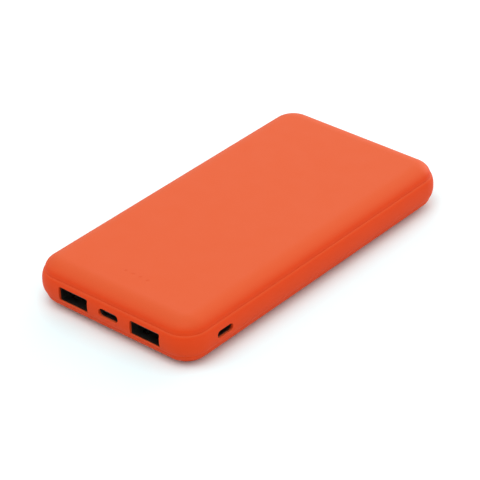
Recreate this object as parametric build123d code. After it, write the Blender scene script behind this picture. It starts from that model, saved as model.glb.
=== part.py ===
from build123d import *
import math
import os

# Slim power bank: a barrel-faced band between two crowned covers, with a pouch cell and a main board inside.
# Frame, mm: origin at the centre of the underside, +X across, +Y away from the ports, +Z up.

# ---- Case ----
CASE_WIDTH = 70.0
CASE_LENGTH = 135.0
CASE_HEIGHT = 16.6
CASE_CORNER = 9.45        # plan radius of the band's corners
BAND_HEIGHT = 7.9         # barrel-faced band between the two covers
BAND_WALL = 1.8           # at the band's mid height, where it is widest
BAND_BULGE = 1.4          # depth of the rounding across the band's face
BAND_OVERRUN = 0.1        # the rounding's half height beyond the band's own
COVER_STEP = 0.05         # a cover's edge inside the band's edge
CROWN_RUN = 6.5           # how far in from its edge a cover keeps rising
COVER_SKIN = 1.5
LIP_THICKNESS = 1.2       # the cover's lip that drops inside the band
LIP_DEPTH = 1.0
LIP_GAP = 0.1             # lip to band

# ---- Snap hooks between covers and band ----
HOOK_LENGTH = 8.0
HOOK_HEIGHT = 0.5
HOOK_REACH = 0.4
HOOK_GAP = 0.12           # round the hook in its pocket
HOOK_PITCH_LONG = 40.0
HOOK_PITCH_SHORT = 36.0

# ---- Ports: openings in the band and the receptacles behind them ----
PORT_LIP = 1.0            # wall left in front of each receptacle
PORT_EDGE = 0.2           # rounding of the openings' outer edges
PORT_GAP = 0.12           # receptacle to the pocket behind its opening
LIP_RELIEF = 0.3          # space left in a lip round anything that crosses it
USB_A_OPENING = (12.6, 5.2, 0.5)     # width, height, corner radius
USB_A_OFFSET = 15.7       # each side of the middle
USB_A_DROP = 0.3          # below the band's mid height
USB_A_SHELL = (13.1, 5.7, 14.0)      # width, height, depth
USB_A_SHEET = 0.35
USB_A_FOLD = 0.5          # outside rounding of the sheet's folds
USB_A_TONGUE = (11.1, 1.84, 8.6)
USB_A_TONGUE_EDGE = 0.37
USB_A_TONGUE_HEADROOM = 0.55
USB_A_BLOCK_DEPTH = 3.6
USB_A_FINGER = (1.6, 5.0)            # width and length of a spring finger
USB_A_FINGER_GAP = 0.3
USB_A_FINGER_FROM_MOUTH = 2.4
USB_A_FINGER_OFFSET = 2.9            # each side of the port's middle
USB_A_CONTACT = (1.0, 6.4, 0.25)
USB_A_CONTACTS = (-3.5, -1.0, 1.0, 3.5)
MOULDING_GAP = 0.05       # a receptacle's insulator inside its shell
USB_C_OPENING = (8.4, 2.9)
USB_C_SHELL = (8.94, 3.26, 7.3)
USB_C_SHEET = 0.3
USB_C_TONGUE = (6.69, 0.7, 4.6)
USB_C_BLOCK_DEPTH = 1.6
USB_C_TONGUE_CORNER = 0.6
USB_C_PADS_PER_SIDE = 12
USB_C_PAD_PITCH = 0.5
USB_C_PAD = (0.25, 3.2, 0.08)
MICRO_OPENING = (7.4, 2.6)
MICRO_SHELL = (7.5, 2.75, 5.6)
MICRO_SHEET = 0.3
MICRO_TAPER = 0.85        # how far each lower corner of the mouth is cut in
MICRO_TONGUE = (3.8, 0.6, 3.4)
MICRO_TONGUE_RISE = 0.35  # above the port's middle
MICRO_TONGUE_EDGE = 0.12
MICRO_BLOCK_DEPTH = 1.2
MICRO_PADS = 5
MICRO_PAD_PITCH = 0.65
MICRO_PAD = (2.6, 0.35, 0.12)
SLOT_FLAT = 0.02          # straight left in a round-ended opening's ends
RIM_SEARCH = 0.001        # an edge this close to a cutter lies on it
SIDE_ROW_FROM_REAR = 8.42 # side port and button, from the main board's rear edge

# ---- Power button and its switch ----
BUTTON_OPENING = (8.6, 3.2)
BUTTON_GAP = 0.2          # cap to opening, all round
BUTTON_RECESS = 0.1       # cap face behind the band's face at rest
BUTTON_CROWN = 0.35       # rounding of the cap's face
BUTTON_FLANGE = (11.0, 4.8, 0.7)
BUTTON_FLANGE_GAP = 0.05
BUTTON_NUB = (2.4, 1.5, 2.0)         # width, height, reach
BUTTON_TRAVEL = 0.3
SWITCH_BODY = (3.4, 6.2, 3.3)        # along X, Y, Z
SWITCH_EDGE = 0.3
SWITCH_PLUNGER = (2.8, 1.4)          # width along Y, height
SWITCH_PLUNGER_REACH = 1.0
SWITCH_PLUNGER_EDGE = 0.15
SWITCH_CONTACT_GAP = 0.03            # plunger to the cap's nub
PLUNGER_GAP = 0.15                   # plunger in its sleeve

# ---- Main board ----
BOARD_THICKNESS = 1.2
BOARD_DROP = 1.45         # the board's top below the case's mid height
BOARD_BEHIND_PORTS = 10.9 # board behind the wide ports, for the power parts
BOARD_EDGE_GAP = 0.4
BOARD_NOTCH_GAP = 0.25
SCREW_SHANK = 0.95        # radius
SCREW_HEAD = 1.8          # radius
SCREW_HEAD_HEIGHT = 1.2
SCREW_HEAD_EDGE = 0.7
SCREW_RECESS = (2.0, 0.4, 0.65)      # length, width and depth of each slot of the cross
SCREW_LENGTH = 4.2
SCREW_TIP = 0.45
SCREW_BITE_GAP = 0.04
BOSS_RADIUS = 2.3
BOARD_HOLE_GAP = 0.2
SCREW_INSET = 4.8         # from the board's side edges
SCREW_FROM_FRONT = 6.4
SCREW_FROM_REAR = 2.7

# ---- Indicators and their light guide ----
LED_COUNT = 4
LED_PITCH = 3.2
LED_FROM_END = 14.5       # indicator row, from the port end
LED_SIZE = (1.6, 0.8, 0.6)
GUIDE_POST = 0.75         # radius
GUIDE_BAR = (13.2, 3.2, 1.0)
GUIDE_GAP = 0.15
WINDOW_SKIN = 0.4         # cover left over each guide post
WINDOW_DIMPLE = (0.55, 0.05)         # radius and depth of the mark over each post
SHIELD_SIZE = (15.2, 4.6)
SHIELD_HOLE = 1.05        # radius

# ---- Cell and what lies round it ----
CELL_SIDE_GAP = 1.9       # cell to the inside of the lips
CELL_END_GAP = 2.4
CELL_EDGE = 3.0           # rounding of the pouch
CELL_TAPE = 0.25
CELL_FOAM = 1.6
CELL_SWELL_GAP = 0.5
CELL_BAY_FROM_BOARD = 8.4            # board's rear edge to the cell's body
TERRACE = (52.0, 4.2, 0.5)           # width, reach, thickness
TAB_SIZE = (7.0, 3.0, 0.2)
TAB_OFFSET = 17.0
PROTECTION_BOARD = (50.0, 3.4, 0.8)
PROTECTION_SETBACK = 0.1  # from the terrace's middle
PROTECTION_CHIP = (2.9, 1.6, 0.9)
PROTECTION_CHIPS = (-6.0, -1.6)
FOAM_STRIPS = 2
FOAM_EDGE = 12.0          # foam to the cell's edges
FOAM_BETWEEN = 14.0
RIB_THICKNESS = 1.2
RIB_GAP = 0.3             # rib to cell
SIDE_RIB_SPACING = 34.3
TAPE_STRIP_WIDTH = 15.1
TAPE_STRIP_OFFSET = 12.1
CROSS_RIB_WIDTH = 36.0

# ---- Leads ----
LEAD_RADIUS = 0.7
LEAD_X = {"negative_lead": 5.0, "positive_lead": 8.3}
LEAD_SIDESTEP = 1.0
SENSOR_LEAD_RADIUS = 0.45
SENSOR_X = -12.0
SENSOR_REACH = 9.0        # how far over the cell the thermistor lies
SOLDER_SIZE = (1.9, 1.5, 1.5)
SOLDER_EDGE = 0.6
SOLDER_GAP = 0.06         # joint to the lead's cut end
LEAD_END_UPPER = 0.2      # a battery lead's end in front of the protection board's middle
LEAD_END_LOWER = 2.4      # its other end in front of the main board's rear edge
SENSOR_END = 2.6          # the sensor lead's end in front of the main board's rear edge
BEND_SHARE = 0.45         # of the shorter run beside a bend, taken up by the bend
THERMISTOR_BEAD = (0.72, 2.0, 0.35)  # radius, length, rounding

# ---- Parts soldered on the main board: centre x, distance from the rear or front edge, size ----
INDUCTOR = (-17.5, 4.9, (8.0, 8.0, 4.2))
CONTROLLER = (-3.4, 3.6, (5.0, 5.0, 0.9))
MOSFETS = [(1.6, 3.2, (3.3, 3.3, 0.9)), (-8.4, 3.2, (3.3, 3.3, 0.9))]
POLYMER_CAPACITORS = [(14.4, 4.6), (21.6, 4.6)]
CAPACITOR_FOOT = (6.2, 6.2, 0.8)
CAPACITOR_FOOT_CORNER = 0.6
CAPACITOR_CAN = (2.98, 4.6)          # radius, height
CAPACITOR_CAN_EDGE = 0.37
CERAMIC_CAPACITORS = [(x, 8.0) for x in (-5.6, -3.2, 3.2, 5.6)]
CERAMIC_CAPACITOR = (1.6, 0.8, 0.5)
FRONT_RESISTORS = [(x, 3.2) for x in (-6.6, 6.6)]
REAR_RESISTORS = [(x, 1.2) for x in (-23.2, -25.2)]
RESISTOR = (1.0, 0.55, 0.4)
INDUCTOR_EDGE = 0.8
STAND_OFF = 0.02          # solder film under each soldered part

# ---- Places worked out from the sizes above ----
CROWN_HEIGHT = (CASE_HEIGHT - BAND_HEIGHT) / 2
BAND_BOTTOM = CROWN_HEIGHT
BAND_TOP = CASE_HEIGHT - CROWN_HEIGHT
MID_HEIGHT = CASE_HEIGHT / 2
BULGE_HALF = BAND_HEIGHT / 2 + BAND_OVERRUN
SHOULDER = BAND_BULGE * (1 - math.sqrt(1 - (BAND_HEIGHT / 2 / BULGE_HALF) ** 2))
COVER_INSET = SHOULDER + COVER_STEP
LIP_INSET = BAND_WALL + LIP_GAP
LIP_INNER = LIP_INSET + LIP_THICKNESS
INNER_X = CASE_WIDTH / 2 - BAND_WALL
INNER_FRONT = -CASE_LENGTH / 2 + BAND_WALL
FRONT_MOUTH = -CASE_LENGTH / 2 + PORT_LIP + PORT_GAP
SIDE_MOUTH = CASE_WIDTH / 2 - PORT_LIP - PORT_GAP
USB_A_Z = MID_HEIGHT - USB_A_DROP
BOARD_TOP = MID_HEIGHT - BOARD_DROP
BOARD_BOTTOM = BOARD_TOP - BOARD_THICKNESS
BOARD_FRONT = INNER_FRONT + BOARD_EDGE_GAP
BOARD_REAR = FRONT_MOUTH + USB_A_SHELL[2] + BOARD_BEHIND_PORTS
BOARD_DEPTH = BOARD_REAR - BOARD_FRONT
BOARD_HALF_WIDTH = INNER_X - BOARD_EDGE_GAP
SIDE_ROW_Y = BOARD_REAR - SIDE_ROW_FROM_REAR
LED_Y = -CASE_LENGTH / 2 + LED_FROM_END
USB_C_Z = BOARD_TOP + USB_C_SHELL[1] / 2 + STAND_OFF
MICRO_Z = BOARD_TOP + MICRO_SHELL[1] / 2 + STAND_OFF
BUTTON_Z = BOARD_TOP + SWITCH_BODY[2] / 2 + STAND_OFF
FLOOR = COVER_SKIN
CEILING = CASE_HEIGHT - COVER_SKIN
CELL_WIDTH = CASE_WIDTH - 2 * (LIP_INNER + CELL_SIDE_GAP)
CELL_FRONT = BOARD_REAR + CELL_BAY_FROM_BOARD
CELL_REAR = CASE_LENGTH / 2 - LIP_INNER - CELL_END_GAP
CELL_LENGTH = CELL_REAR - CELL_FRONT
CELL_Y = (CELL_FRONT + CELL_REAR) / 2
CELL_BOTTOM = FLOOR + CELL_TAPE
CELL_TOP = CEILING - CELL_FOAM - CELL_SWELL_GAP
CELL_MID = (CELL_BOTTOM + CELL_TOP) / 2
TERRACE_TOP = CELL_MID + TERRACE[2] / 2
PROTECTION_Y = CELL_FRONT - TERRACE[1] / 2 - PROTECTION_SETBACK
PROTECTION_BOTTOM = TERRACE_TOP + TAB_SIZE[2]
PROTECTION_TOP = PROTECTION_BOTTOM + PROTECTION_BOARD[2]


def block(size, x=0.0, y=0.0, bottom=0.0):
    """A box of the given size, centred on x and y, standing on bottom."""
    return Pos(x, y, bottom) * Box(*size, align=(Align.CENTER, Align.CENTER, Align.MIN))


def rod(radius, height, x=0.0, y=0.0, bottom=0.0):
    """An upright cylinder on bottom."""
    return Pos(x, y, bottom) * Cylinder(radius, height, align=(Align.CENTER, Align.CENTER, Align.MIN))


def prism(sketch, bottom, height):
    """A plan sketch drawn up from bottom."""
    return Pos(0, 0, bottom) * extrude(sketch, height)


def case_plan(inset):
    """The case's rounded outline, drawn in by inset."""
    return RectangleRounded(CASE_WIDTH - 2 * inset, CASE_LENGTH - 2 * inset, CASE_CORNER - inset)


def front_plane(y):
    """A plane facing the port end: its x is the case's X, its y is the case's Z."""
    return Plane(origin=(0, y, 0), x_dir=(1, 0, 0), z_dir=(0, -1, 0))


def side_plane(x):
    """A plane facing +X: its x is the case's Y, its y is the case's Z."""
    return Plane(origin=(x, 0, 0), x_dir=(0, 1, 0), z_dir=(1, 0, 0))


def rimmed_slab(inset, rim):
    """A slab with the case's outline, drawn in by inset. rim(reach) is its edge's curve, from bottom to top."""
    corner = CASE_CORNER - inset
    straight_x = CASE_WIDTH - 2 * CASE_CORNER
    straight_y = CASE_LENGTH - 2 * CASE_CORNER

    def half(reach):
        curve = rim(reach)
        foot = curve @ 0
        head = curve @ 1
        return make_face([curve, Polyline(head, (0, head.Y), (0, foot.Y), foot)])

    def whole(reach):
        return half(reach) + mirror(half(reach), Plane.YZ)

    slab = extrude(front_plane(0) * whole(straight_x / 2 + corner), straight_y / 2, both=True)
    slab += extrude(side_plane(0) * whole(straight_y / 2 + corner), straight_x / 2, both=True)
    wedge = revolve(Plane.XZ * half(corner), Axis.Z, 90)
    for turn, side_x, side_y in ((0, 1, 1), (90, -1, 1), (180, -1, -1), (270, 1, -1)):
        slab += Pos(side_x * straight_x / 2, side_y * straight_y / 2, 0) * Rot(0, 0, turn) * wedge
    return slab


def crown(inset, run, height):
    """A crowned slab on z = 0: its rim rises in a quarter ellipse, run wide, to a flat top."""
    return rimmed_slab(inset, lambda reach: EllipticalCenterArc((reach - run, 0), run, height, 0, arc_size=90))


def barrel():
    """The band's solid form about z = 0, with its rounded face."""
    half_angle = math.degrees(math.asin(BAND_HEIGHT / 2 / BULGE_HALF))

    def rim(reach):
        middle = (reach - BAND_BULGE, 0)
        return EllipticalCenterArc(middle, BAND_BULGE, BULGE_HALF, -half_angle, arc_size=2 * half_angle)

    return rimmed_slab(0, rim)


def upside_down(shape):
    """The same shape turned over about the case's mid height."""
    return mirror(shape, Plane.XY.offset(MID_HEIGHT))


def hook_places():
    """Centre, direction outward and turn of each snap hook, as (x, y, turn)."""
    side_x = CASE_WIDTH / 2
    end_y = CASE_LENGTH / 2
    places = []
    for step in (-1, 0, 1):
        places += [(side_x, step * HOOK_PITCH_LONG, 0), (-side_x, step * HOOK_PITCH_LONG, 180)]
    for step in (-0.5, 0.5):
        places.append((step * HOOK_PITCH_SHORT, end_y, 90))
    return places


def hooks(grow):
    """The hooks of the top cover, each side enlarged by grow to make their pockets."""
    reach = HOOK_REACH + grow
    depth = reach + LIP_THICKNESS / 2
    size = (depth, HOOK_LENGTH + 2 * grow, HOOK_HEIGHT + 2 * grow)
    middle = LIP_INSET - reach + depth / 2
    bottom = BAND_TOP - LIP_DEPTH / 2 - HOOK_HEIGHT / 2 - grow
    return [Pos(x, y, 0) * Rot(0, 0, turn) * block(size, -middle, 0, bottom) for x, y, turn in hook_places()]


def usb_a_places():
    """X of each wide port."""
    return {"usb_a_left": -USB_A_OFFSET, "usb_a_right": USB_A_OFFSET}


def port_envelopes(grow):
    """The space that each receptacle takes, enlarged by grow: at its sides, and at its mouth."""
    spaces = []
    for x in usb_a_places().values():
        spaces.append((USB_A_SHELL, Pos(x, FRONT_MOUTH, USB_A_Z)))
    spaces.append((USB_C_SHELL, Pos(0, FRONT_MOUTH, USB_C_Z)))
    spaces.append((MICRO_SHELL, Pos(SIDE_MOUTH, SIDE_ROW_Y, MICRO_Z) * Rot(0, 0, 90)))
    envelopes = []
    for (width, height, depth), place in spaces:
        size = (width + 2 * grow, depth + grow, height + 2 * grow)
        envelopes.append(place * Pos(0, (depth - grow) / 2, 0) * Box(*size))
    return envelopes


def cover_blank():
    """A top cover before its own features: crowned skin, lip and snap hooks."""
    skin = crown(COVER_INSET, CROWN_RUN, CROWN_HEIGHT)
    hollow_run = CROWN_RUN - (LIP_INNER - COVER_INSET)
    hollow = crown(LIP_INNER, hollow_run, CROWN_HEIGHT - COVER_SKIN)
    lip_plan = case_plan(LIP_INSET) - case_plan(LIP_INNER)
    lip = prism(lip_plan, BAND_TOP - LIP_DEPTH, LIP_DEPTH)
    blank = Pos(0, 0, BAND_TOP) * (skin - hollow) + lip
    for hook in hooks(0.0):
        blank += hook
    return blank


def led_places():
    """X of each indicator, spread evenly about the middle."""
    return [(index - (LED_COUNT - 1) / 2) * LED_PITCH for index in range(LED_COUNT)]


def screw_places():
    """Plan place of each board screw."""
    x = BOARD_HALF_WIDTH - SCREW_INSET
    return [(side * x, y) for side in (-1, 1) for y in (BOARD_FRONT + SCREW_FROM_FRONT, BOARD_REAR - SCREW_FROM_REAR)]


def top_cover():
    """Upper crowned cover: lip, hooks, indicator windows and the wall that holds the light guide."""
    cover = cover_blank()
    wall_height = CEILING - guide_bar_bottom()
    wall_size = (GUIDE_BAR[0] + 2 * RIB_THICKNESS, GUIDE_BAR[1] + 2 * RIB_THICKNESS, wall_height)
    pocket = (GUIDE_BAR[0] + 2 * GUIDE_GAP, GUIDE_BAR[1] + 2 * GUIDE_GAP, wall_height)
    cover += block(wall_size, 0, LED_Y, guide_bar_bottom()) - block(pocket, 0, LED_Y, guide_bar_bottom())
    bore_height = COVER_SKIN - WINDOW_SKIN
    for x in led_places():
        cover -= rod(GUIDE_POST + GUIDE_GAP, bore_height, x, LED_Y, CEILING)
        cover -= rod(WINDOW_DIMPLE[0], WINDOW_DIMPLE[1], x, LED_Y, CASE_HEIGHT - WINDOW_DIMPLE[1])
    for space in port_envelopes(LIP_RELIEF):
        cover -= space
    return cover


def bottom_cover():
    """Lower crowned cover: the top one's blank turned over, with board bosses and the cross rib."""
    cover = upside_down(cover_blank())
    root = COVER_SKIN / 2
    inside = upside_down(Pos(0, 0, BAND_TOP) * crown(COVER_INSET + root, CROWN_RUN, CROWN_HEIGHT - root))
    inside += prism(case_plan(LIP_INSET), BAND_BOTTOM, BAND_HEIGHT)
    rib_y = (BOARD_REAR + PROTECTION_Y - PROTECTION_BOARD[1] / 2) / 2
    rib = block((CROSS_RIB_WIDTH, RIB_THICKNESS, BOARD_TOP), 0, rib_y, 0)
    bosses = [rod(BOSS_RADIUS, BOARD_BOTTOM, x, y) for x, y in screw_places()]
    for feature in [rib] + bosses:
        cover += feature & inside
    pilot_depth = SCREW_LENGTH - BOARD_THICKNESS + SCREW_BITE_GAP
    for x, y in screw_places():
        cover -= rod(SCREW_SHANK + SCREW_BITE_GAP, pilot_depth, x, y, BOARD_BOTTOM - pilot_depth)
    for space in port_envelopes(LIP_RELIEF):
        cover -= space
    return cover


def on_outer_rim(edge, cutter):
    """True for an edge where cutter breaks through the band's outer face."""
    middle = edge @ 0.5
    outward = max(abs(middle.X) - CASE_WIDTH / 2, abs(middle.Y) - CASE_LENGTH / 2)
    near_face = outward > -PORT_LIP
    return near_face and cutter.distance_to(middle) < RIM_SEARCH and cutter.distance_to(edge @ 0) < RIM_SEARCH


def opening(plane, size, corner):
    """A cutter for one opening in the band: a rounded rectangle drawn through the wall that plane lies on."""
    return extrude(plane * RectangleRounded(*size, corner), 2 * BAND_WALL, both=True)


def openings():
    """A cutter for each port and for the button."""
    front = -CASE_LENGTH / 2
    side = CASE_WIDTH / 2
    cutters = [
        opening(front_plane(front) * Pos(x, USB_A_Z), USB_A_OPENING[:2], USB_A_OPENING[2])
        for x in usb_a_places().values()
    ]
    slots = (
        (front_plane(front) * Pos(0, USB_C_Z), USB_C_OPENING),
        (side_plane(side) * Pos(SIDE_ROW_Y, MICRO_Z), MICRO_OPENING),
        (side_plane(-side) * Pos(SIDE_ROW_Y, BUTTON_Z), BUTTON_OPENING),
    )
    return cutters + [opening(plane, size, size[1] / 2 - SLOT_FLAT) for plane, size in slots]


def middle_frame():
    """The band: barrel face, port and button openings, pockets for receptacles and hooks, and cell ribs."""
    band = Pos(0, 0, MID_HEIGHT) * barrel() - prism(case_plan(BAND_WALL), BAND_BOTTOM, BAND_HEIGHT)
    for cutter in openings():
        pierced = band - cutter
        rims = pierced.edges().filter_by(lambda edge: on_outer_rim(edge, cutter))
        band = fillet(rims, PORT_EDGE)
    for pocket in port_envelopes(PORT_GAP):
        band -= pocket
    for pocket in hooks(HOOK_GAP):
        band -= pocket
        band -= upside_down(pocket)
    rib_height = BAND_HEIGHT - 2 * (LIP_DEPTH + RIB_GAP)
    rib_bottom = MID_HEIGHT - rib_height / 2
    side_reach = INNER_X - CELL_WIDTH / 2 - RIB_GAP
    for step in (-1, 0, 1):
        for side in (-1, 1):
            x = side * (INNER_X - side_reach / 2)
            band += block((side_reach, RIB_THICKNESS, rib_height), x, CELL_Y + step * SIDE_RIB_SPACING, rib_bottom)
    end_reach = CASE_LENGTH / 2 - BAND_WALL - CELL_REAR - RIB_GAP
    for side in (-1, 1):
        y = CASE_LENGTH / 2 - BAND_WALL - end_reach / 2
        band += block((RIB_THICKNESS, end_reach, rib_height), side * CELL_WIDTH / 4, y, rib_bottom)
    return band


def main_board():
    """The main circuit board, notched for the two sunk wide ports."""
    corner = CASE_CORNER - BAND_WALL - BOARD_EDGE_GAP
    plan = Pos(0, (BOARD_FRONT + BOARD_REAR) / 2) * Rectangle(2 * BOARD_HALF_WIDTH, BOARD_DEPTH)
    board = prism(plan, BOARD_BOTTOM, BOARD_THICKNESS)
    board = fillet(board.edges().filter_by(Axis.Z).group_by(Axis.Y)[0], corner)
    for x in usb_a_places().values():
        depth = USB_A_SHELL[2] + BOARD_NOTCH_GAP
        notch = (USB_A_SHELL[0] + 2 * BOARD_NOTCH_GAP, 2 * depth, CASE_HEIGHT)
        board -= block(notch, x, FRONT_MOUTH, 0)
    button_depth = BUTTON_FLANGE_GAP + BUTTON_FLANGE[2] + BUTTON_TRAVEL + BOARD_NOTCH_GAP
    button_notch = (2 * button_depth, BUTTON_FLANGE[0] + 2 * BOARD_NOTCH_GAP, CASE_HEIGHT)
    board -= block(button_notch, -INNER_X, SIDE_ROW_Y, 0)
    for x, y in screw_places():
        board -= rod(SCREW_SHANK + BOARD_HOLE_GAP, CASE_HEIGHT, x, y)
    return board


def board_screws():
    """Pan-head self-tapping screws with a cross recess, one in each boss."""
    head = rod(SCREW_HEAD, SCREW_HEAD_HEIGHT)
    head = fillet(head.faces().sort_by(Axis.Z)[-1].edges(), SCREW_HEAD_EDGE)
    slot = block(SCREW_RECESS, bottom=SCREW_HEAD_HEIGHT - SCREW_RECESS[2])
    shank = rod(SCREW_SHANK, SCREW_LENGTH, bottom=-SCREW_LENGTH)
    shank = chamfer(shank.faces().sort_by(Axis.Z)[0].edges(), SCREW_TIP)
    screw = head - slot - Rot(0, 0, 90) * slot + shank
    return [Pos(x, y, BOARD_TOP) * screw for x, y in screw_places()]


def usb_a_shell(x):
    """Folded sheet shell of a wide port, open at the mouth, with two spring fingers above and below."""
    width, height, depth = USB_A_SHELL
    middle = FRONT_MOUTH + depth / 2
    outer = Pos(x, middle, USB_A_Z) * Box(width, depth, height)
    outer = fillet(outer.edges().filter_by(Axis.Y), USB_A_FOLD)
    cavity = Box(width - 2 * USB_A_SHEET, depth, height - 2 * USB_A_SHEET)
    cavity = fillet(cavity.edges().filter_by(Axis.Y), USB_A_FOLD - USB_A_SHEET)
    shell = outer - Pos(x, middle - USB_A_SHEET, USB_A_Z) * cavity
    finger_width, finger_length = USB_A_FINGER
    tall = 2 * height
    window = Box(finger_width + 2 * USB_A_FINGER_GAP, finger_length + 2 * USB_A_FINGER_GAP, tall)
    blade = Pos(0, USB_A_FINGER_GAP, 0) * Box(finger_width, finger_length, tall)
    window_y = FRONT_MOUTH + USB_A_FINGER_FROM_MOUTH + USB_A_FINGER_GAP + finger_length / 2
    for side in (-1, 1):
        shell -= Pos(x + side * USB_A_FINGER_OFFSET, window_y, USB_A_Z) * (window - blade)
    return shell


def usb_a_tongue():
    """Y where a wide port's tongue leaves its back block, and Z of the tongue's middle."""
    root = FRONT_MOUTH + USB_A_SHELL[2] - USB_A_SHEET - MOULDING_GAP - USB_A_BLOCK_DEPTH
    top = USB_A_Z + USB_A_SHELL[1] / 2 - USB_A_SHEET - USB_A_TONGUE_HEADROOM
    return root, top - USB_A_TONGUE[1] / 2


def usb_a_insulator(x):
    """Moulded back block and tongue of a wide port."""
    width, height, _ = USB_A_SHELL
    root, tongue_z = usb_a_tongue()
    gap = 2 * (USB_A_SHEET + MOULDING_GAP)
    rear = Pos(x, root + USB_A_BLOCK_DEPTH / 2, USB_A_Z) * Box(width - gap, USB_A_BLOCK_DEPTH, height - gap)
    tongue = Box(USB_A_TONGUE[0], USB_A_TONGUE[2], USB_A_TONGUE[1])
    tongue = chamfer(tongue.faces().sort_by(Axis.Y)[0].edges().filter_by(Axis.X), USB_A_TONGUE_EDGE)
    return rear + Pos(x, root - USB_A_TONGUE[2] / 2, tongue_z) * tongue


def usb_a_contacts(x):
    """Four spring contacts under the tongue of a wide port."""
    root, tongue_z = usb_a_tongue()
    under = tongue_z - USB_A_TONGUE[1] / 2 - USB_A_CONTACT[2]
    return [block(USB_A_CONTACT, x + offset, root - USB_A_CONTACT[1] / 2, under) for offset in USB_A_CONTACTS]


def stadium(size):
    """A slot with round ends, as (overall width, height)."""
    return SlotOverall(size[0], size[1])


def usb_c_shell():
    """Drawn shell of the reversible port, closed at the back."""
    width, height, depth = USB_C_SHELL
    mouth = front_plane(FRONT_MOUTH) * Pos(0, USB_C_Z)
    inner_size = (width - 2 * USB_C_SHEET, height - 2 * USB_C_SHEET)
    outer = extrude(mouth * stadium((width, height)), -depth)
    return outer - extrude(mouth * stadium(inner_size), USB_C_SHEET - depth)


def usb_c_root():
    """Y where the reversible port's tongue leaves its back block."""
    return FRONT_MOUTH + USB_C_SHELL[2] - USB_C_SHEET - MOULDING_GAP - USB_C_BLOCK_DEPTH


def usb_c_insulator():
    """Back block and thin centre tongue of the reversible port."""
    gap = 2 * (USB_C_SHEET + MOULDING_GAP)
    block_size = (USB_C_SHELL[0] - gap, USB_C_SHELL[1] - gap)
    rear = extrude(front_plane(usb_c_root()) * Pos(0, USB_C_Z) * stadium(block_size), -USB_C_BLOCK_DEPTH)
    tongue = Box(USB_C_TONGUE[0], USB_C_TONGUE[2], USB_C_TONGUE[1])
    tongue = fillet(tongue.faces().sort_by(Axis.Y)[0].edges().filter_by(Axis.Z), USB_C_TONGUE_CORNER)
    return rear + Pos(0, usb_c_root() - USB_C_TONGUE[2] / 2, USB_C_Z) * tongue


def usb_c_contacts():
    """Rows of flat contacts above and below the reversible port's tongue."""
    first = -(USB_C_PADS_PER_SIDE - 1) / 2 * USB_C_PAD_PITCH
    y = usb_c_root() - USB_C_PAD[1] / 2
    half_tongue = USB_C_TONGUE[1] / 2
    pads = []
    for index in range(USB_C_PADS_PER_SIDE):
        x = first + index * USB_C_PAD_PITCH
        pads.append(block(USB_C_PAD, x, y, USB_C_Z + half_tongue))
        pads.append(block(USB_C_PAD, x, y, USB_C_Z - half_tongue - USB_C_PAD[2]))
    return pads


def micro_section(inset):
    """Mouth of the side port: a rectangle whose two lower corners are cut in."""
    half = MICRO_SHELL[0] / 2 - inset
    high = MICRO_SHELL[1] / 2 - inset
    cut = MICRO_TAPER
    outline = Polyline(
        (-half, high), (half, high), (half, -high + cut), (half - cut, -high), (cut - half, -high), (-half, -high + cut),
        close=True,
    )
    return make_face(outline)


def micro_shell():
    """Folded shell of the side port, closed at the back."""
    mouth = side_plane(SIDE_MOUTH) * Pos(SIDE_ROW_Y, MICRO_Z)
    outer = extrude(mouth * micro_section(0), -MICRO_SHELL[2])
    return outer - extrude(mouth * micro_section(MICRO_SHEET), MICRO_SHEET - MICRO_SHELL[2])


def micro_root():
    """X where the side port's tongue leaves its back block."""
    return SIDE_MOUTH - MICRO_SHELL[2] + MICRO_SHEET + MOULDING_GAP + MICRO_BLOCK_DEPTH


def micro_insulator():
    """Back block and tongue of the side port."""
    place = side_plane(micro_root()) * Pos(SIDE_ROW_Y, MICRO_Z)
    rear = extrude(place * micro_section(MICRO_SHEET + MOULDING_GAP), -MICRO_BLOCK_DEPTH)
    tongue = Box(MICRO_TONGUE[2], MICRO_TONGUE[0], MICRO_TONGUE[1])
    tongue = chamfer(tongue.faces().sort_by(Axis.X)[-1].edges().filter_by(Axis.Y), MICRO_TONGUE_EDGE)
    return rear + Pos(micro_root() + MICRO_TONGUE[2] / 2, SIDE_ROW_Y, MICRO_Z + MICRO_TONGUE_RISE) * tongue


def micro_contacts():
    """Five contacts under the side port's tongue."""
    first = SIDE_ROW_Y - (MICRO_PADS - 1) / 2 * MICRO_PAD_PITCH
    under = MICRO_Z + MICRO_TONGUE_RISE - MICRO_TONGUE[1] / 2 - MICRO_PAD[2]
    rows = [first + index * MICRO_PAD_PITCH for index in range(MICRO_PADS)]
    return [block(MICRO_PAD, micro_root() + MICRO_PAD[0] / 2, y, under) for y in rows]


def switch_front():
    """X of the switch body's face, reached from the band through cap, flange and nub."""
    nub_tip = -INNER_X + BUTTON_FLANGE_GAP + BUTTON_FLANGE[2] + BUTTON_NUB[2]
    return nub_tip + SWITCH_CONTACT_GAP + SWITCH_PLUNGER_REACH


def power_button():
    """Button cap: round-ended head in the band's opening, flange behind it and a nub on the switch."""
    head_size = (BUTTON_OPENING[0] - 2 * BUTTON_GAP, BUTTON_OPENING[1] - 2 * BUTTON_GAP)
    face = -CASE_WIDTH / 2 + BUTTON_RECESS
    flange_face = -INNER_X + BUTTON_FLANGE_GAP
    place = Pos(SIDE_ROW_Y, BUTTON_Z)
    head = extrude(side_plane(face) * place * stadium(head_size), flange_face - face)
    head = fillet(head.faces().sort_by(Axis.X)[0].edges(), BUTTON_CROWN)
    flange = extrude(side_plane(flange_face) * place * stadium(BUTTON_FLANGE[:2]), BUTTON_FLANGE[2])
    nub = extrude(side_plane(flange_face + BUTTON_FLANGE[2]) * place * stadium(BUTTON_NUB[:2]), BUTTON_NUB[2])
    return head + flange + nub


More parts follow.
